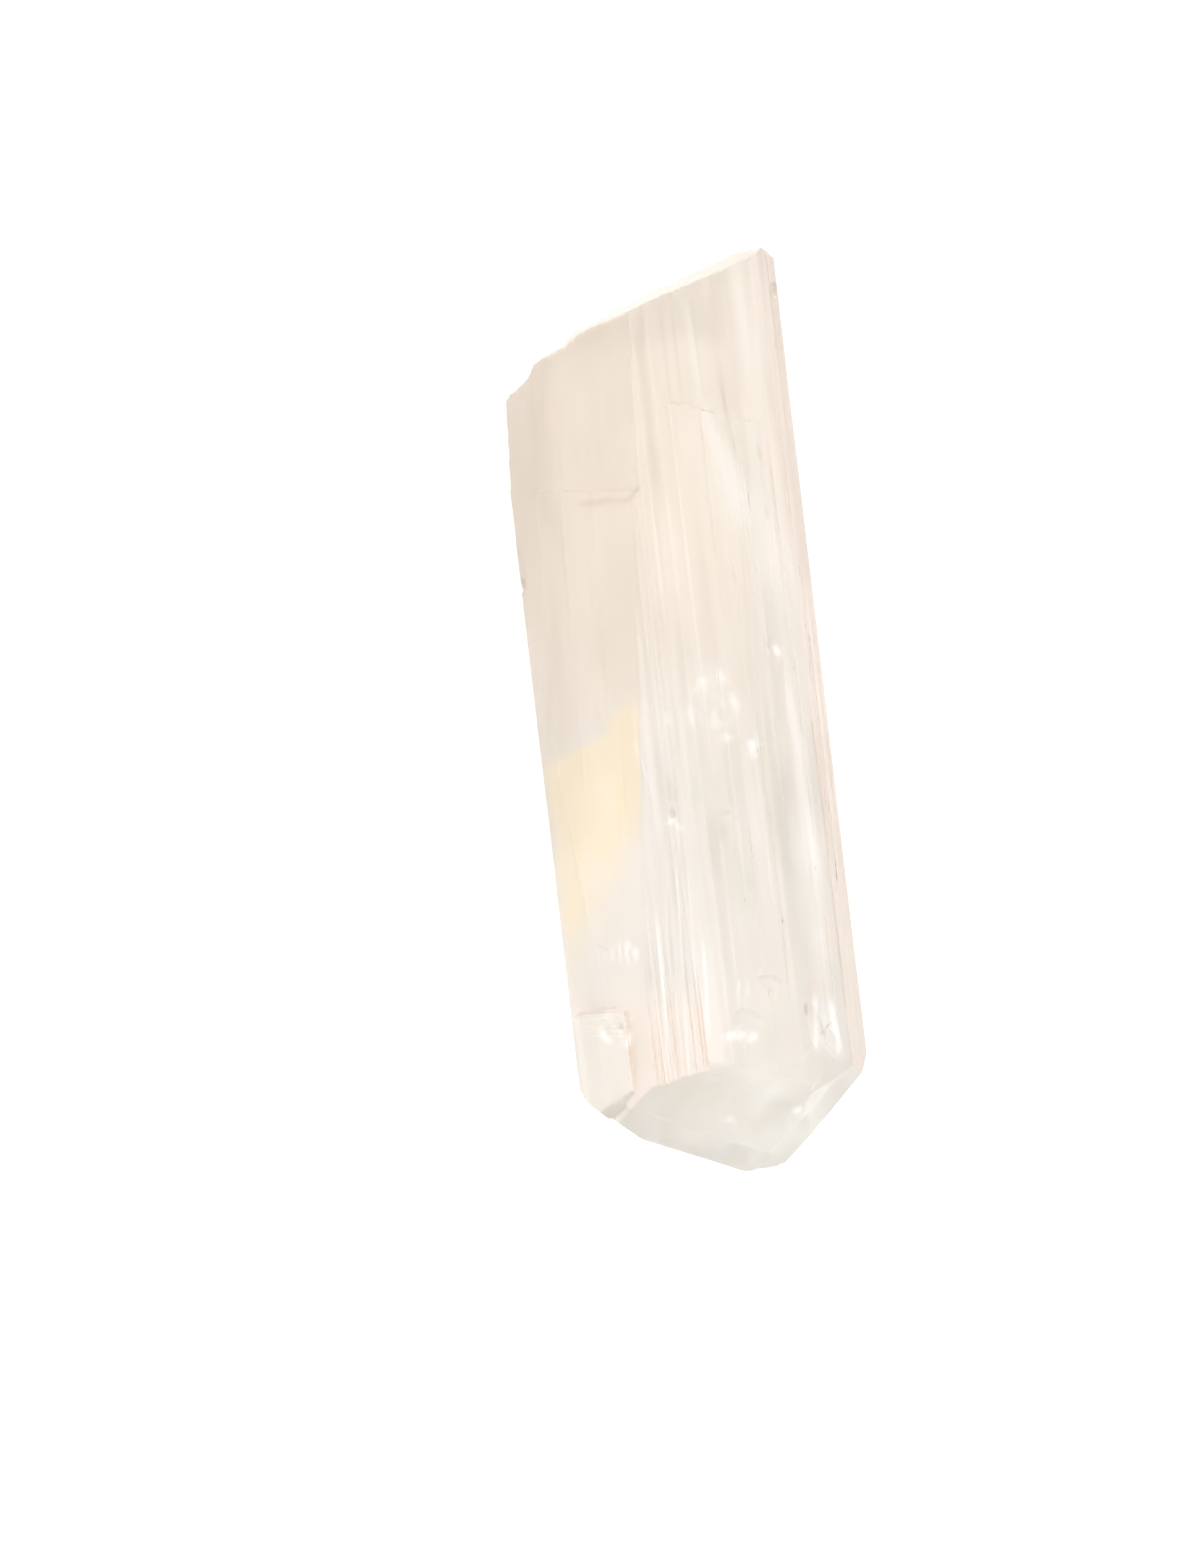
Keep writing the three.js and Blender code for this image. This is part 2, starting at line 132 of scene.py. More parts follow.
# Where the front is cut finely both ways, because it has small pits, wisps and flecks there.
RING = Patch((1.8, 0.6), (1.8, 2.6))
SWIRL = Patch((2.6, -16.7), (2.1, 1.7))
FRINGE = Patch((-4.9, -13.4), (1.7, 0.8))
TWIN_HEAD = Patch((-6.2, -17.7), (1.3, 1.5))
CRACK = Patch((-2.7, 13.9), (2.6, 1.0))
FINE_PATCHES = [
    RING,
    SWIRL,
    FRINGE,
    TWIN_HEAD,
    CRACK,
    Patch((-1.4, -5.6), (0.9, 0.9)),
    Patch((4.0, -2.1), (0.8, 1.0)),
    Patch((1.8, -5.9), (0.7, 0.4)),
    Patch((6.0, 3.3), (0.5, 0.6)),
    Patch((1.0, -19.0), (1.1, 0.8)),
    Patch((6.2, -19.3), (1.3, 2.3)),
]


def cut_lines(low, high, step):
    count = max(1, round((high - low) / step))
    return np.linspace(low, high, count, endpoint=False)[1:]


def cut_faces(bm, faces, axis, places):
    """Cuts some of the mesh's faces by planes across one axis. The mesh stays closed."""
    normal = Vector((0, 0, 0))
    normal[axis] = 1
    edges = {edge for face in faces for edge in face.edges}
    verts = {vert for edge in edges for vert in edge.verts}
    geometry = [*faces, *edges, *verts]
    for place in places:
        cut = bmesh.ops.bisect_plane(
            bm, geom=geometry, dist=CUT_WITHIN, plane_co=normal * place * MM, plane_no=normal
        )
        geometry = cut["geom"]


def cut_patch(bm, patch):
    """Cuts the strips that run lengthwise through a patch of the front into cells that are about square."""
    (x, y), (reach_x, reach_y) = patch.middle, patch.reach
    strips = [
        face
        for face in bm.faces
        if face.normal.z > PATCH_ABOVE and abs(face.calc_center_bounds().x / MM - x) < reach_x
    ]
    cut_faces(bm, strips, 1, cut_lines(y - reach_y, y + reach_y, ACROSS_STEP))


def fine_mesh(node):
    """A copy of a CAD node's mesh, cut finely enough to take relief: narrow across, long along c."""
    bm = bmesh.new()
    bm.from_mesh(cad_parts[node].data)
    bmesh.ops.remove_doubles(bm, verts=bm.verts, dist=MERGE_WITHIN)
    bmesh.ops.dissolve_limit(bm, angle_limit=FLAT_ANGLE, verts=bm.verts, edges=bm.edges)
    low, high = (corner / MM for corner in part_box(node))
    front = [face for face in bm.faces if face.normal.z > FRONT_ABOVE]
    cut_faces(bm, front, 0, cut_lines(low.x, high.x, ACROSS_STEP))
    for patch in FINE_PATCHES:
        cut_patch(bm, patch)
    back = [face for face in bm.faces if face.normal.z < BACK_BELOW]
    cut_faces(bm, back, 0, cut_lines(low.x, high.x, ACROSS_STEP_BACK))
    steep = [face for face in bm.faces if abs(face.normal.z) < STEEP_BELOW]
    cut_faces(bm, steep, 2, cut_lines(low.z, high.z, UP_STEP))
    lengthwise = [
        *cut_lines(low.y, TIP_START_Y, TIP_STEP),
        *cut_lines(TIP_START_Y, ROOT_START_Y, PRISM_STEP),
        *cut_lines(ROOT_START_Y, high.y, BREAK_STEP),
    ]
    cut_faces(bm, list(bm.faces), 1, lengthwise)
    bmesh.ops.triangulate(bm, faces=bm.faces)
    mesh = bpy.data.meshes.new("crystal_fine")
    bm.to_mesh(mesh)
    bm.free()
    return mesh


def points_of(mesh):
    flat = np.zeros(len(mesh.vertices) * 3, np.float32)
    mesh.vertices.foreach_get("co", flat)
    return flat.reshape(-1, 3).astype(float) / MM


def move_points(mesh, points):
    mesh.vertices.foreach_set("co", (points * MM).astype(np.float32).ravel())
    mesh.update()


def normals_of(mesh):
    flat = np.zeros(len(mesh.vertices) * 3, np.float32)
    mesh.vertex_normals.foreach_get("vector", flat)
    return flat.reshape(-1, 3).astype(float)


class Neighbours:
    """Which points of a mesh share an edge."""

    def __init__(self, mesh):
        flat = np.zeros(len(mesh.edges) * 2, np.int32)
        mesh.edges.foreach_get("vertices", flat)
        self.first, self.second = flat.reshape(-1, 2).T
        self.degree = np.bincount(flat, minlength=len(mesh.vertices))[:, None]

    def smooth(self, values, rounds, strength):
        """Draws each point's values towards the mean of its neighbours' values."""
        for _ in range(rounds):
            total = np.zeros_like(values)
            np.add.at(total, self.first, values[self.second])
            np.add.at(total, self.second, values[self.first])
            values = mix(values, total / self.degree, strength)
        return values

    def corners(self, normals):
        """How sharply the surface turns at each point."""
        turn = 1 - np.einsum("ij,ij->i", normals[self.first], normals[self.second])
        sharpest = np.zeros(len(normals))
        np.maximum.at(sharpest, self.first, turn)
        np.maximum.at(sharpest, self.second, turn)
        return sharpest


# ------------------------------------------------------------------ the crystal's zones

# How much of a point's normal lies each way where its mask leaves 0, and where it reaches 1.
TURNED_UP = (0.15, 0.35)
TURNED_TO_TIP = (0.3, 0.5)
TURNED_TO_ROOT = (0.25, 0.5)
TURNED_SIDEWAYS = (0.8, 0.95)
EDGE_BLUR = 0.12  # how softly the left face's right boundary is drawn, to either side
CREST_BLUR = 0.5  # and the crest's right boundary
APART = 40  # keeps the striations of the steep sides apart from those of the front and back


class Zones:
    """Which face of the crystal each point lies on, as soft masks from 0 to 1."""

    def __init__(self, points, normals):
        self.x, self.y, self.z = points.T
        x, y = self.x, self.y
        nx, ny, nz = normals.T
        self.front = smoothstep(nz, *TURNED_UP)
        self.tip = smoothstep(-ny, *TURNED_TO_TIP) * (y < TIP_START_Y)
        self.root = smoothstep(ny, *TURNED_TO_ROOT) * (y > ROOT_START_Y)
        self.prism = 1 - np.maximum(self.tip, self.root)
        self.side = smoothstep(np.abs(nx), *TURNED_SIDEWAYS)
        past_edge = x - LEFT_EDGE[0] - LEFT_EDGE_SLOPE * (y - LEFT_EDGE[1])
        shown = self.front * self.prism
        twin = smoothstep(TWIN_X - x, -0.1, 0.1) * smoothstep(TWIN_Y - y, -0.2, 0.1)
        self.twin = self.front * twin
        right_of_edge = smoothstep(past_edge, -EDGE_BLUR, EDGE_BLUR)
        self.left = shown * smoothstep(-past_edge, -EDGE_BLUR, EDGE_BLUR) * (1 - twin)
        self.crest = shown * right_of_edge * smoothstep(CREST_RIGHT_X - x, -CREST_BLUR, CREST_BLUR)
        self.band = shown * smoothstep(x - BAND_X, -0.2, 0.1)
        self.window = shown * smoothstep(x - CREST_RIGHT_X, -CREST_BLUR, CREST_BLUR) * (1 - self.band)
        self.back = (1 - self.front) * self.prism
        self.across = np.where(self.side > 0.5, self.z + APART, x)

    def blend(self, **values):
        """Each point's value, given one value for each zone. What no zone takes gets `other`."""
        total = np.full(len(self.x), float(values.pop("other")))
        for zone, value in values.items():
            total = mix(total, value, getattr(self, zone))
        return total

    def out(self, patch):
        """How far out each point lies in a patch: 0 in its middle and 1 at its edge."""
        (at_x, at_y), (reach_x, reach_y), turn = patch
        x, y = self.x - at_x, self.y - at_y
        across = x * math.cos(turn) + y * math.sin(turn)
        along = y * math.cos(turn) - x * math.sin(turn)
        return np.hypot(across / reach_x, along / reach_y)

    def inside(self, patch, edge=0.45, ragged=0.3, grain=0.8):
        """1 in the middle of a patch and 0 outside it, with a soft and ragged edge."""
        uneven = ragged * noise(90, self.x / grain, self.y / grain)
        return self.front * smoothstep(1 - self.out(patch) - uneven, 0, edge)

    def along(self, streak):
        """1 along the middle of a streak, falling off to its sides and its ends."""
        (top_x, top_y), (low_x, low_y) = streak.top, streak.bottom
        down = (top_y - self.y) / (top_y - low_y)
        reach = mix(*streak.reach, np.clip(down, 0, 1))
        wander = 0.25 * reach * noise(91, self.y / 2.5, self.x / 6)
        off = np.abs(self.x + wander - mix(top_x, low_x, down)) / reach
        ends = smoothstep(down, 0, 0.25) * smoothstep(1 - down, 0, 0.25)
        return self.front * ends * smoothstep(1 - off, 0, 0.9)


# ------------------------------------------------------------------ relief

# How deep each kind of relief goes. The striations' depth is given by zone.
STRIATION_DEPTH = {
    "other": 0.03,
    "left": 0.006,
    "crest": 0.035,
    "window": 0.009,
    "band": 0.028,
    "twin": 0.01,
}
PRISM_SWELL = 0.01
TIP_SWELL = 0.015
GROWTH_LINE_DEPTH = 0.02
HACKLE_DEPTH = 0.05
RIPPLE_DEPTH = 0.018
BREAK_GRAIN_DEPTH = 0.03
CHIP_DEPTH = 0.06
NICK_DEPTH = 0.1

INWARD = (-0.673, 0.74)  # the way in from the wedge's lower right edge, as x and y
GROWTH_LINE_PITCH = 0.5
GROWTH_LINE_LENGTH = 6


def striation(seed, across, along, pitch, length):
    """Ridges and grooves that run along c, `pitch` wide and `length` long, from -1 to 1."""
    drift = 0.5 * noise(seed + 1, along / length, across / (9 * pitch))
    return noise(seed, across / pitch + drift, along / length)


def prism_relief(zones):
    """Striations, deepest from y = -8 to y = -15, and slow swells under them."""
    across, y = zones.across, zones.y
    lines = 0.7 * striation(3, across, y, pitch=0.5, length=16)
    lines += 0.3 * striation(5, across, y, pitch=0.27, length=9)
    depth = zones.blend(**STRIATION_DEPTH)
    deeper = mix(0.4, 0.8, smoothstep(-y, 2, 8)) * mix(1, 0.5, smoothstep(-y, 15, 18.5))
    swell = noise(11, across / 2.6, y / 5.5)
    return zones.prism * (depth * deeper * (1 - lines) + PRISM_SWELL * (1 - swell))


def growth_lines(zones):
    """Lines that run along the wedge's lower right edge, from 0 to 1."""
    inward = INWARD[1] * zones.y + INWARD[0] * zones.x
    along = zones.x + zones.y
    lines = noise(21, inward / GROWTH_LINE_PITCH, along / GROWTH_LINE_LENGTH)
    return smoothstep(lines, -0.3, 0.7)


def tip_relief(zones):
    """Growth lines, and slow swells under them."""
    swell = noise(23, zones.x / 2.2, zones.y / 1.8)
    return zones.tip * (GROWTH_LINE_DEPTH * (1 - growth_lines(zones)) + TIP_SWELL * (1 - swell))


def root_relief(zones):
    """Hackles and ripples, finer than the ones that the solid has."""
    x, y, z = zones.x, zones.y, zones.z
    away_x, away_z = x - BREAK_ORIGIN[0], z - BREAK_ORIGIN[1]
    radius = np.hypot(away_x, away_z)
    angle = np.arctan2(away_z, away_x)
    ripple = np.sin(radius * 7 + 1.5 * noise(31, x / 2, z / 2))
    ripple *= smoothstep(noise(32, x / 4, z / 4), -0.3, 0.5)
    hackle = np.abs(noise(33, angle * 14, radius / 3.5)) + 0.5 * np.abs(noise(34, angle * 34, radius / 1.6))
    grain = noise(35, x / 0.55, y / 0.55, z / 0.55)
    depth = HACKLE_DEPTH * hackle + RIPPLE_DEPTH * (1 + ripple) + BREAK_GRAIN_DEPTH * (1 + grain)
    return zones.root * depth


class Mark(NamedTuple):
    """A mark in the front (flecks and smudges, and also painted highlights and painted shade): its tint,
    how strongly that shows, and how deep its pit is.
    """

    patch: Patch
    tint: str
    strength: float
    depth: float = 0.0


class Streak(NamedTuple):
    """A mark that runs along c: its ends, its reach to either side at each, and the rest as in Mark."""

    top: tuple
    bottom: tuple
    reach: tuple
    tint: str
    strength: float
    depth: float = 0.0


MARKS = [
    # wisps in a loose ring, halfway up
    Mark(Patch((1.35, 2.05), (0.42, 0.7), 0.3), "haze_and_highlight", 0.6, 0.02),
    Mark(Patch((2.55, 2.1), (0.38, 0.95), 0.5), "haze_and_highlight", 0.65, 0.02),
    Mark(Patch((3.1, 0.7), (0.36, 0.9), 0.2), "haze_and_highlight", 0.65, 0.02),
    Mark(Patch((2.45, -1.4), (0.65, 0.45)), "haze_and_highlight", 0.55, 0.02),
    Mark(Patch((0.5, 0.1), (0.5, 0.95)), "haze_and_highlight", 0.5, 0.02),
    # single flecks: small flaws whose brightness is partly painted glint
    Mark(Patch((3.95, -2.25), (0.6, 0.9), -0.5), "haze_and_highlight", 0.8, 0.06),
    Mark(Patch((6.04, 3.4), (0.36, 0.5), 0.2), "haze_and_highlight", 0.8, 0.03),
    Mark(Patch((-0.9, 0.05), (0.45, 0.4)), "haze_and_highlight", 0.55, 0.02),
    Mark(Patch((0.95, -19.0), (1.1, 0.6), -0.35), "haze_and_highlight", 0.8, 0.06),
    Mark(Patch((1.75, -19.3), (0.6, 0.4), 0.5), "haze_and_highlight", 0.8, 0.03),
    Mark(Patch((5.95, -22.9), (0.6, 0.26), 0.6), "haze_and_highlight", 0.8, 0.02),
    Mark(Patch((4.1, -24.0), (0.5, 0.34), 0.3), "haze_and_highlight", 0.8, 0.02),
    Mark(Patch((-0.05, -24.1), (0.8, 0.26)), "haze_and_highlight", 0.7, 0.01),
    # a small notch in the crest, darkened with painted shade, with painted highlights on its lips, and a
    # dark fleck to its right
    Mark(Patch((-1.45, -6.0), (0.7, 0.3), 0.25), "haze_and_highlight", 0.85, 0.03),
    Mark(Patch((-0.95, -6.3), (0.45, 0.3), -0.4), "haze_and_highlight", 0.8, 0.03),
    Mark(Patch((-1.3, -5.5), (0.34, 0.34)), "dark_and_shade", 0.22, 0.05),
    Mark(Patch((1.9, -5.9), (0.6, 0.26), -0.1), "dark_and_shade", 0.25, 0.02),
    # the head of the small parallel crystal: painted shade in a pit, and painted highlights on it
    Mark(Patch((-5.85, -17.75), (0.26, 0.34)), "dark_and_shade", 0.35, 0.1),
    Mark(Patch((-6.75, -18.3), (0.3, 0.8), 0.5), "haze_and_highlight", 0.9),
    Mark(Patch((-5.4, -18.5), (0.3, 0.7), -0.5), "haze_and_highlight", 0.9),
    # painted shade in the pits of the chip by the tip's right shoulder
    Mark(Patch((5.27, -18.15), (0.2, 0.6)), "dark_and_shade", 0.5, 0.05),
    Mark(Patch((6.27, -19.95), (0.26, 0.7), 0.1), "dark_and_shade", 0.3, 0.08),
    # patches of colour
    Mark(Patch((-1.3, -4.1), (0.5, 1.4)), "green", 0.9),
    Mark(Patch((0.4, -4.5), (0.9, 1.6)), "green", 0.8),
    Mark(Patch((1.5, -7.1), (1.0, 1.4)), "green", 0.9),
    Mark(Patch((2.3, -9.8), (1.6, 2.4)), "green", 0.7),
    Mark(Patch((7.4, -14.0), (0.8, 1.6)), "peach_and_shade", 1.0),
    Mark(Patch((5.8, -16.6), (0.6, 1.0)), "peach_and_shade", 0.9),
    Mark(Patch((3.0, -17.2), (1.3, 0.6)), "peach_and_shade", 0.7),
    # a band of painted shade above the crack
    Mark(Patch((-2.4, 14.8), (3.0, 0.9), 0.35), "beige_shade", 0.6),
]

STREAKS = [
    # the crest's lower striae: painted highlights on their ridges, then painted shade in their grooves
    Streak((-1.4, -7.5), (-1.95, -16.5), (0.12, 0.14), "haze_and_highlight", 0.6),
    Streak((-0.8, -8.5), (-1.15, -16.0), (0.12, 0.12), "haze_and_highlight", 0.45),
    Streak((-2.9, -10.5), (-3.35, -21.6), (0.14, 0.2), "haze_and_highlight", 0.45),
    Streak((-0.35, -12.5), (-0.75, -19.5), (0.14, 0.2), "haze_and_highlight", 0.45),
    Streak((-1.85, -15.5), (-2.15, -21.5), (0.12, 0.14), "haze_and_highlight", 0.5),
    Streak((-2.1, -9.5), (-2.6, -18.0), (0.16, 0.14), "dark_and_shade", 0.2, 0.03),
    Streak((-1.45, -11.0), (-1.8, -17.5), (0.12, 0.12), "dark_and_shade", 0.15, 0.03),
    # and a bright line above them
    Streak((-3.2, -0.5), (-2.25, -4.6), (0.14, 0.14), "haze_and_highlight", 0.45),
    # the wedge-shaped veil below the break, and the lines beside it
    Streak((3.1, 25.5), (3.2, 17.0), (0.3, 0.3), "haze_and_highlight", 0.3),
    Streak((3.1, 19.5), (4.9, 10.4), (0.3, 1.7), "haze_and_highlight", 0.4),
    Streak((4.55, 20.5), (4.85, 14.5), (0.15, 0.35), "green", 0.9),
    Streak((1.5, 25.0), (1.4, 17.5), (0.16, 0.14), "dark_and_shade", 0.14),
    Streak((2.15, 25.0), (2.1, 18.0), (0.16, 0.14), "dark_and_shade", 0.16),
    Streak((3.3, 25.5), (3.45, 18.5), (0.14, 0.12), "dark_and_shade", 0.12),
    Streak((7.0, 21.0), (6.65, 13.0), (0.2, 0.2), "peach_and_shade", 1.0),
    # a painted highlight along the window's right edge
    Streak((6.45, 4.0), (6.9, -12.5), (0.35, 0.6), "haze_and_highlight", 0.32),
    # painted highlights on the lips of the chip by the tip's right shoulder
    Streak((5.95, -16.9), (5.55, -20.9), (0.28, 0.26), "haze_and_highlight", 0.75, 0.03),
    Streak((6.75, -17.3), (7.05, -21.5), (0.3, 0.34), "haze_and_highlight", 0.8, 0.03),
]
CHIP = Patch((6.35, -19.3), (0.85, 1.9), 0.08)


def wisps_in(zones):
    """Soft dabs, longer than they are wide, from 0 to 1."""
    x, y = zones.x, zones.y
    return smoothstep(noise(61, x / 0.32 + 0.8 * noise(62, x, y), y / 0.55), -0.05, 0.8)


def dashes_in(zones):
    return smoothstep(noise(63, zones.x / 0.2, zones.y / 0.8), -0.2, 0.5)


def rungs_in(zones):
    """Fine lines across c."""
    return smoothstep(np.sin(zones.y * 21 + noise(64, zones.x / 2, zones.y / 2)), -0.2, 0.8)


# What is etched into each patch, and how deep.
ETCHING = [
    (RING, wisps_in, 0.02),
    (SWIRL, wisps_in, 0.04),
    (FRINGE, dashes_in, 0.05),
    (TWIN_HEAD, rungs_in, 0.03),
]


def etched_relief(zones):
    """The small pits and notches."""
    depth = sum(deepest * zones.inside(patch) * pattern(zones) for patch, pattern, deepest in ETCHING)
    depth += CHIP_DEPTH * zones.inside(CHIP, edge=0.5, ragged=0.15)
    for mark in MARKS:
        depth += mark.depth * zones.inside(mark.patch, edge=0.9, ragged=0.25, grain=0.3)
    for streak in STREAKS:
        depth += streak.depth * zones.along(streak)
    return depth


def worn_edges(zones, sharpness):
    """Small nicks along the sharp edges."""
    x, y, z = zones.x, zones.y, zones.z
    rough = noise(41, x / 0.9, y / 0.9, z / 0.9) + 0.5 * noise(42, x / 0.4, y / 0.4, z / 0.4)
    return NICK_DEPTH * sharpness * smoothstep(rough, 0.4, 1.0)


def crystal_piece():
    mesh = fine_mesh("crystal")
    neighbours = Neighbours(mesh)
    points = neighbours.smooth(points_of(mesh), rounds=2, strength=0.5)
    move_points(mesh, points)
    mesh.shade_smooth()
    mesh.set_sharp_from_angle(angle=SHARP_ANGLE)
    normals = normals_of(mesh)
    zones = Zones(points, normals)
    corners = smoothstep(neighbours.corners(normals), 0.01, 0.08)
    sharpness = neighbours.smooth(corners[:, None], rounds=3, strength=0.6)[:, 0]
    depth = prism_relief(zones) + tip_relief(zones) + root_relief(zones) + etched_relief(zones)
    depth += worn_edges(zones, sharpness)
    move_points(mesh, points - normals * depth[:, None])
    paint_zones(mesh, zones)
    piece = bpy.data.objects.new("danburite_crystal", mesh)
    bpy.context.scene.collection.objects.link(piece)
    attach(piece, "root")
    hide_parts("crystal")
    return piece


# ------------------------------------------------------------------ what the material reads from the mesh

STAIN_LEFT_X = -8.8  # just past the crystal's left side
STAIN_LOWER = (-4.2, -6.9)  # a point on the stain's lower edge
STAIN_LOWER_SLOPE = 1.45
STAIN_TOP = (0.8, 1.6)  # it fades out between these heights
CRACK_LEFT = (-4.7, 13.5)  # a point on the crack, near its left end
CRACK_FALL = 0.11  # how far it runs down for each millimetre to the right
CRACK_CURL = 1.1  # and how far it curls up at its right end
CRACK_HALF_WIDTH = 0.35

# What whitens each patch, and how much.
HAZE = [
    (RING, wisps_in, 0.45),
    (SWIRL, wisps_in, 0.65),
    (FRINGE, dashes_in, 0.6),
    (TWIN_HEAD, wisps_in, 0.6),
]

# How much of the light goes in, by zone: the rest is scattered by haze at the surface.
CLEARNESS = {
    "other": 0.45,
    "back": 0.38,
    "left": 0.34,
    "crest": 0.46,
    "window": 0.5,
    "band": 0.56,
    "twin": 0.24,
    "tip": 0.54,
    "root": 0.3,
}
ROUGHNESS = {
    "other": 0.36,
    "back": 0.45,
    "left": 0.38,
    "crest": 0.34,
    "window": 0.33,
    "band": 0.34,
    "twin": 0.33,
    "tip": 0.33,
    "root": 0.36,
}
STREAKINESS = {  # how strongly the fine streaks along c show
    "other": 0.6,
    "left": 0.3,
    "crest": 0.75,
    "window": 0.4,
    "band": 0.7,
    "twin": 0.6,
    "tip": 0.3,
    "root": 0.0,
}


def paint(mesh, name, values):
    attribute = mesh.attributes.new(name, "FLOAT", "POINT")
    attribute.data.foreach_set("value", values.astype(np.float32))


def clouds_in(zones, seed, size):
    """Soft clouds, drawn out along c, from -1 to 1."""
    x, y, z = zones.x / size, zones.y / (2.2 * size), zones.z / size
    return 0.65 * noise(seed, x, y, z) + 0.35 * noise(seed + 1, 2.3 * x, 2.3 * y, 2.3 * z)


def stain_in(zones):
    """The pale yellow patch in the left face. It is cut off by the face's right boundary, where its
    stepped upper edge comes to a point, and it runs out towards the lower left."""
    x, y = zones.x, zones.y
    right = LEFT_EDGE[0] + LEFT_EDGE_SLOPE * (y - LEFT_EDGE[1])
    step = 0.65 * smoothstep(y, -2.2, 0.0) + 0.35 * smoothstep(y, 0.0, 2.5)
    left = mix(STAIN_LEFT_X, right, step) + 0.3 * noise(71, y / 1.6, x / 2.5)
    lower = STAIN_LOWER[1] + STAIN_LOWER_SLOPE * (x - STAIN_LOWER[0])
    inside = smoothstep(x - left, -0.3, 1.0) * smoothstep(y - lower, -3.0, 2.4)
    return zones.left * inside * smoothstep(-y, -STAIN_TOP[1], -STAIN_TOP[0])


def crack_in(zones):
    """A thin dark crack across the left face, which curls up at its right end."""
    line = CRACK_LEFT[1] - CRACK_FALL * (zones.x - CRACK_LEFT[0])
    line += CRACK_CURL * smoothstep(zones.x, -2.0, -0.6)
    line += 0.1 * noise(72, zones.x / 0.7, zones.x / 3)
    across = np.abs(zones.y - line)
    along = smoothstep(zones.x, -5.0, -4.3) * smoothstep(-zones.x, 0.6, 1.2)
    uneven = mix(0.35, 1.0, smoothstep(noise(73, zones.x / 0.8, zones.x / 3), -0.3, 0.5))
    near = smoothstep(CRACK_HALF_WIDTH - across, 0, CRACK_HALF_WIDTH)
    return zones.front * along * uneven * near


def haze_in(zones):
    """What is whiter than the crystal round it: wisps, the tip's growth lines, and the chip, whose
    whiteness is partly painted glint.
    """
    whites = [whitest * zones.inside(patch, edge=0.8) * pattern(zones) for patch, pattern, whitest in HAZE]
    whites.append(0.4 * zones.tip * smoothstep(zones.x, 0, 4) * growth_lines(zones))
    whites.append(0.35 * zones.inside(CHIP, edge=0.6, ragged=0.15))
    return np.maximum.reduce(whites)


def tints_of(zones):
    """Where each of the material's tints lies."""
    x, y = zones.x, zones.y
    # a blush at the foot of the left face and the crest, and rosy clouds over all of the front
    low = smoothstep(-y, 14.5, 17.5) * zones.prism * smoothstep(0.5 - x, 0, 1.5)
    blush = low * (1 - zones.twin) * mix(0.75, 1, smoothstep(noise(83, x / 0.6, y / 3), -0.4, 0.5))
    rosy = smoothstep(clouds_in(zones, seed=88, size=1.8), 0.1, 0.6)
    # greenish clouds in the right face's lower part, short of its right side
    green = zones.window * smoothstep(clouds_in(zones, seed=85, size=2.6), 0.0, 0.6)
    green *= smoothstep(-y, -4, 6) * smoothstep(-x, -6.5, -5.0)
    # cooler lower down
    cool = 0.8 * smoothstep(-y, -14, 8) + 0.4 * smoothstep(clouds_in(zones, seed=81, size=3.2), 0, 0.7)
    tints = {
        "cool": np.maximum(np.minimum(cool, 1), zones.tip) * (1 - 0.85 * zones.twin),
        "green": np.maximum(0.8 * green, 0.45 * zones.tip),
        # painted shade: the left face is darker than the crest, most of all towards the root
        "beige_shade": zones.left * mix(1, 0.45, smoothstep(-y, -15, 9)),
        "stain": stain_in(zones),
        # on the narrow right band the peach is painted shade; the blush and rosy clouds are the crystal's
        # own tone
        "peach_and_shade": np.maximum(zones.band, zones.front * np.maximum(blush, 0.25 * rosy)),
        "dark_and_shade": 0.3 * crack_in(zones),
        "haze_and_highlight": haze_in(zones),
    }
    # the marks and streaks lay on flecks, wisps and colour, and also painted highlights and painted shade
    for mark in MARKS:
        shown = mark.strength * zones.inside(mark.patch, edge=1.0, ragged=0.35, grain=0.35)
        tints[mark.tint] = np.maximum(tints[mark.tint], shown)
    for streak in STREAKS:
        tints[streak.tint] = np.maximum(tints[streak.tint], streak.strength * zones.along(streak))
    return tints


def clearness_of(zones, tints):
    """How much of the light goes in at each point."""
    x, y = zones.x, zones.y
    clear = zones.blend(**CLEARNESS)
    # milkier on the window's right and upper parts, and on the lower parts of the faces beside it
    clear -= 0.12 * zones.window * smoothstep(x, 4.5, 6.5)
    clear -= 0.08 * (zones.left + zones.crest) * smoothstep(-y, 2, 8)
    clear -= 0.04 * zones.window * smoothstep(y, -2, 6)
    # and on the tip, towards its right, its left corner and its lower end
    clear -= 0.2 * zones.tip * smoothstep(x, -3, 5)
    clear -= 0.1 * zones.tip * smoothstep(-x, 3.8, 4.6)
    clear -= 0.14 * zones.tip * smoothstep(-y, 24.4, 26.0)
    # clouds: small ones on the tip, and larger ones everywhere
    clear += 0.12 * zones.tip * clouds_in(zones, seed=89, size=0.9)
    clear += 0.1 * clouds_in(zones, seed=87, size=2.2) + 0.14 * tints["green"]
    return clear - 0.12 * tints["stain"] - 0.1 * tints["peach_and_shade"] * (1 + zones.crest) - 0.35 * tints["haze_and_highlight"]


def streakiness_of(zones):
    """The streaks are weaker near the tip."""
    return zones.blend(**STREAKINESS) * mix(1, 0.5, smoothstep(-zones.y, 15, 18))


def paint_zones(mesh, zones):
    tints = tints_of(zones)
    for name, mask in tints.items():
        paint(mesh, name, mask)
    paint(mesh, "clear", clearness_of(zones, tints))
    paint(mesh, "rough", zones.blend(**ROUGHNESS))
    paint(mesh, "streaky", streakiness_of(zones))


# ------------------------------------------------------------------ materials

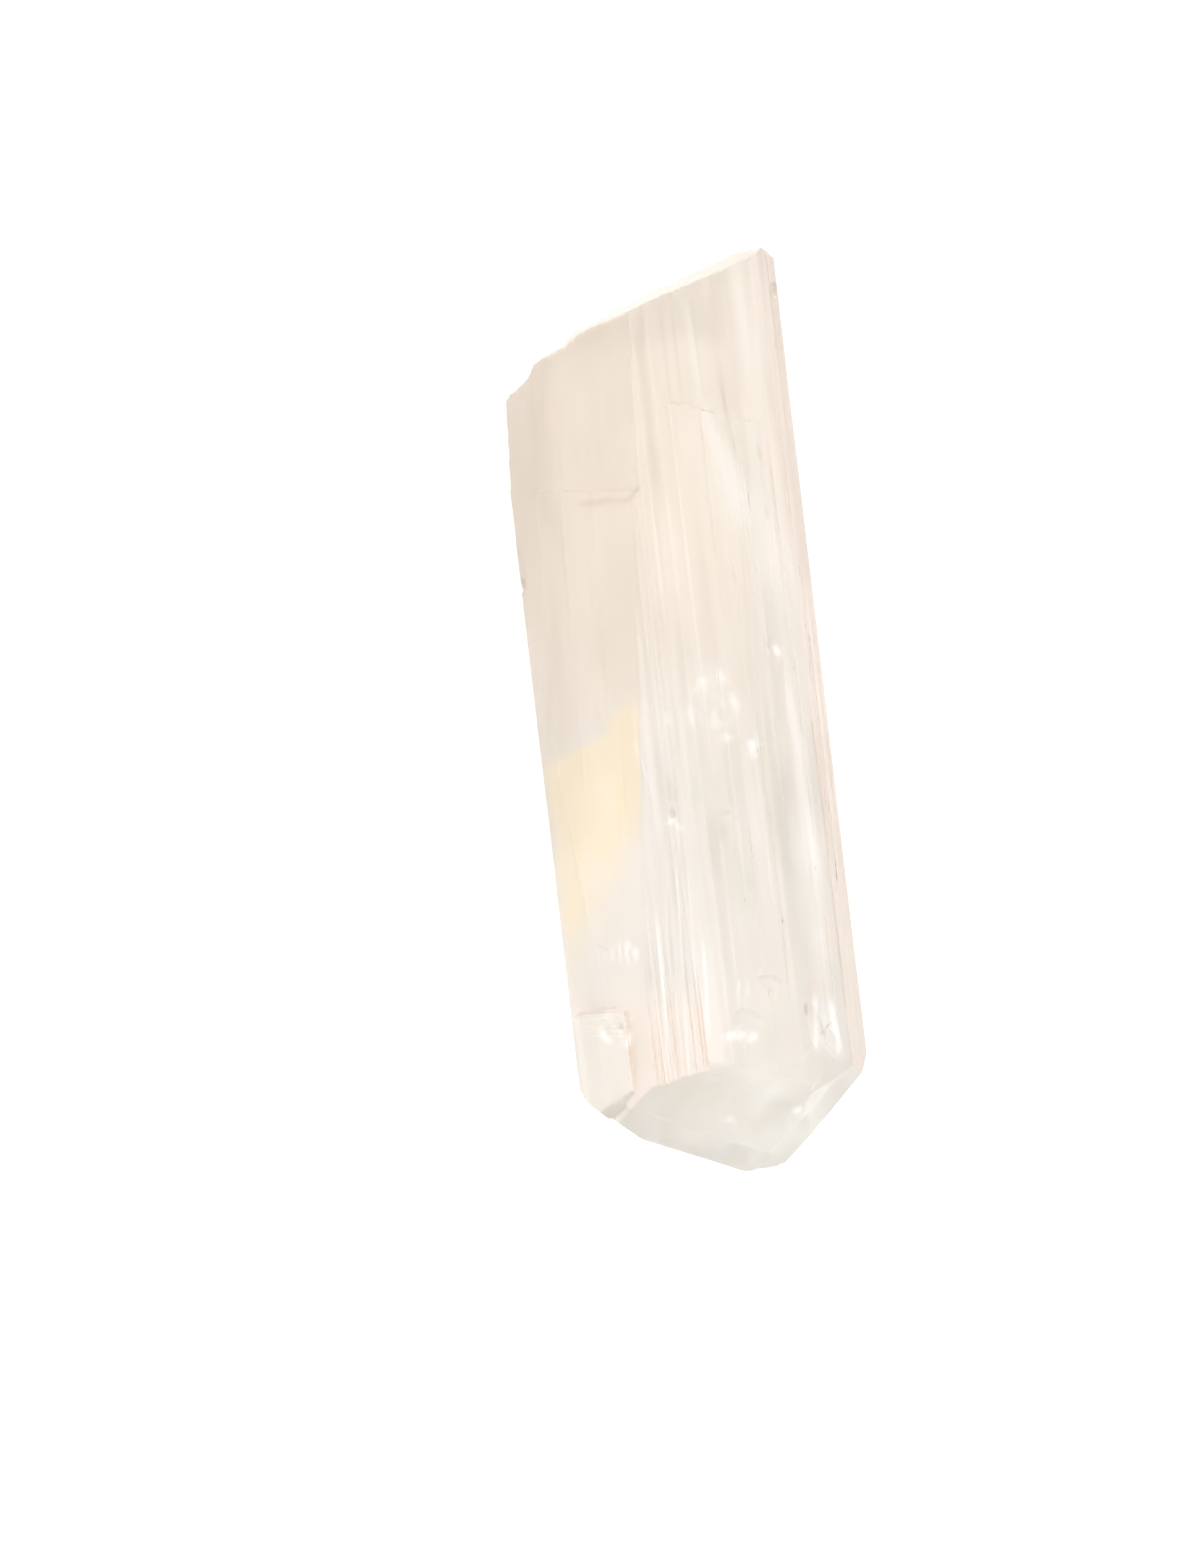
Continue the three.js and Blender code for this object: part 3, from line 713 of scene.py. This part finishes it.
CREAM = (0.985, 0.910, 0.815, 1)
TINTS = {  # laid over the cream in this order, each where its mask says
    "cool": (0.972, 0.942, 0.895, 1),
    "green": (0.915, 0.915, 0.840, 1),
    # painted shade, over the left face and in a band above the crack
    "beige_shade": (0.920, 0.815, 0.700, 1),
    "stain": (0.985, 0.850, 0.630, 1),
    # the crystal's peach tone, and painted shade on the narrow right band
    "peach_and_shade": (0.985, 0.865, 0.780, 1),
    # the crack and other dark flecks and lines, and painted shade in pits, notches and grooves
    "dark_and_shade": (0.620, 0.480, 0.380, 1),
    # whitish haze and wisps, and painted highlights and glints
    "haze_and_highlight": (1.0, 0.980, 0.950, 1),
}
IOR = 1.63
ABSORPTION_COLOR = (0.97, 0.90, 0.80, 1)
ABSORPTION_DENSITY = 40  # for each metre
STREAK_SIZE = (0.3, 12.0, 0.3)  # in x, y and z
FROST_SIZE = (0.35, 0.6, 0.35)
FROST = 0.04  # how far the roughness varies to either side
MILK = 0.14  # and the clearness, where the streaks show fully
BUMP_HEIGHT = 0.02
BUMP_STRENGTH = 0.6
NOISE_LOW = 0.3  # most of what a noise node gives lies between these two
NOISE_HIGH = 0.7


class Nodes:
    """Builds a material's node tree a node at a time."""

    def __init__(self, name):
        self.material = bpy.data.materials.new(name)
        self.material.use_nodes = True
        self.tree = self.material.node_tree
        self.shader = self.tree.nodes["Principled BSDF"]
        self.output = self.tree.nodes["Material Output"]

    def add(self, kind, inputs=None, **settings):
        node = self.tree.nodes.new("ShaderNode" + kind)
        for name, value in settings.items():
            setattr(node, name, value)
        for socket, value in (inputs or {}).items():
            self.set(node.inputs[socket], value)
        return node

    def set(self, socket, value):
        if isinstance(value, bpy.types.NodeSocket):
            self.tree.links.new(value, socket)
        else:
            socket.default_value = value

    def math(self, operation, *values, clamp=False):
        node = self.add("Math", dict(enumerate(values)), operation=operation, use_clamp=clamp)
        return node.outputs[0]

    def ramp(self, value, start, end):
        """Takes what a noise node gives to the range from `start` to `end`."""
        inputs = {"Value": value, "From Min": NOISE_LOW, "From Max": NOISE_HIGH}
        inputs |= {"To Min": start, "To Max": end}
        return self.add("MapRange", inputs, clamp=True).outputs["Result"]

    def attribute(self, name):
        return self.add("Attribute", attribute_name=name).outputs["Fac"]

    def noise(self, size, detail):
        """Noise with features of `size` millimetres in x, y and z."""
        place = self.add("TexCoord").outputs["Object"]
        scale = [1 / (s * MM) for s in size]
        scaled = self.add("VectorMath", {0: place, 1: scale}, operation="MULTIPLY").outputs[0]
        inputs = {"Vector": scaled, "Scale": 1.0, "Detail": detail, "Roughness": 0.5}
        return self.add("TexNoise", inputs).outputs["Fac"]

    def tint(self, color, other, share):
        return self.add("MixRGB", {"Fac": share, "Color1": color, "Color2": other}).outputs["Color"]


def danburite():
    nodes = Nodes("danburite")
    streaks = nodes.noise(STREAK_SIZE, detail=2)
    frost = nodes.noise(FROST_SIZE, detail=1)
    streaky = nodes.attribute("streaky")

    color = CREAM
    for name, tint in TINTS.items():
        color = nodes.tint(color, tint, nodes.attribute(name))
    nodes.set(nodes.shader.inputs["Base Color"], color)

    milk = nodes.math("MULTIPLY", nodes.ramp(streaks, MILK, -MILK), streaky)
    clear = nodes.math("ADD", nodes.attribute("clear"), milk, clamp=True)
    nodes.set(nodes.shader.inputs["Transmission Weight"], clear)

    rough = nodes.math("ADD", nodes.attribute("rough"), nodes.ramp(frost, -FROST, FROST), clamp=True)
    nodes.set(nodes.shader.inputs["Roughness"], rough)

    height = nodes.math("MULTIPLY", streaks, streaky)
    bump = nodes.add("Bump", {"Height": height, "Distance": BUMP_HEIGHT * MM, "Strength": BUMP_STRENGTH})
    nodes.set(nodes.shader.inputs["Normal"], bump.outputs["Normal"])

    nodes.shader.inputs["IOR"].default_value = IOR
    absorption = nodes.add("VolumeAbsorption", {"Color": ABSORPTION_COLOR, "Density": ABSORPTION_DENSITY})
    nodes.set(nodes.output.inputs["Volume"], absorption.outputs["Volume"])
    return nodes.material


# ------------------------------------------------------------------ the studio

# The studio's own sizes are metres.
FLOOR_SIZE = 3
FLOOR_Z = -0.02 * MM  # a hair below the crystal
FLOOR_GREY = (0.5, 0.5, 0.5, 1)
FLOOR_GLOW = 0.75  # brings the floor up to the white of the photograph's ground
WORLD_STRENGTH = 0.88
KEY_PLACE = (0.25, 0.3, 0.75)
KEY_SIZE = 0.8
KEY_POWER = 2.6
WHITE = (1, 1, 1, 1)


def floor():
    bpy.ops.mesh.primitive_plane_add(size=FLOOR_SIZE, location=(0, 0, FLOOR_Z))
    plane = bpy.context.object
    plane.name = "floor"
    nodes = Nodes("floor")
    nodes.shader.inputs["Base Color"].default_value = FLOOR_GREY
    nodes.shader.inputs["Roughness"].default_value = 0.9
    nodes.shader.inputs["Specular IOR Level"].default_value = 0.1
    nodes.shader.inputs["Emission Color"].default_value = WHITE
    nodes.shader.inputs["Emission Strength"].default_value = FLOOR_GLOW
    plane.data.materials.append(nodes.material)


def key_light():
    """A square softbox, aimed at the crystal."""
    light = bpy.data.lights.new("key", "AREA")
    light.shape = "RECTANGLE"
    light.size = light.size_y = KEY_SIZE
    light.energy = KEY_POWER
    lamp = bpy.data.objects.new("key", light)
    lamp.location = KEY_PLACE
    lamp.rotation_euler = (-Vector(KEY_PLACE)).to_track_quat("-Z", "Y").to_euler()
    bpy.context.scene.collection.objects.link(lamp)


def studio():
    scene = bpy.context.scene
    world = bpy.data.worlds.new("studio")
    world.use_nodes = True
    background = world.node_tree.nodes["Background"]
    background.inputs["Color"].default_value = WHITE
    background.inputs["Strength"].default_value = WORLD_STRENGTH
    scene.world = world
    key_light()
    scene.view_settings.view_transform = "Standard"
    scene.cycles.max_bounces = 12
    scene.cycles.diffuse_bounces = 4
    scene.cycles.glossy_bounces = 6
    scene.cycles.transmission_bounces = 10


def camera():
    data = bpy.data.cameras.new("camera")
    data.lens = LENS
    data.sensor_width = SENSOR
    data.clip_start = 0.01
    distance = LENS * FRAME_HEIGHT / SENSOR
    view = bpy.data.objects.new("camera", data)
    view.location = Vector((LOOK_AT[0], LOOK_AT[1], LOOK_AT[2] + distance)) * MM
    view.rotation_euler = (0, 0, ROLL)
    bpy.context.scene.collection.objects.link(view)
    bpy.context.scene.camera = view


# ------------------------------------------------------------------ the scene

camera()
studio()
floor()
crystal = crystal_piece()
crystal.data.materials.append(danburite())
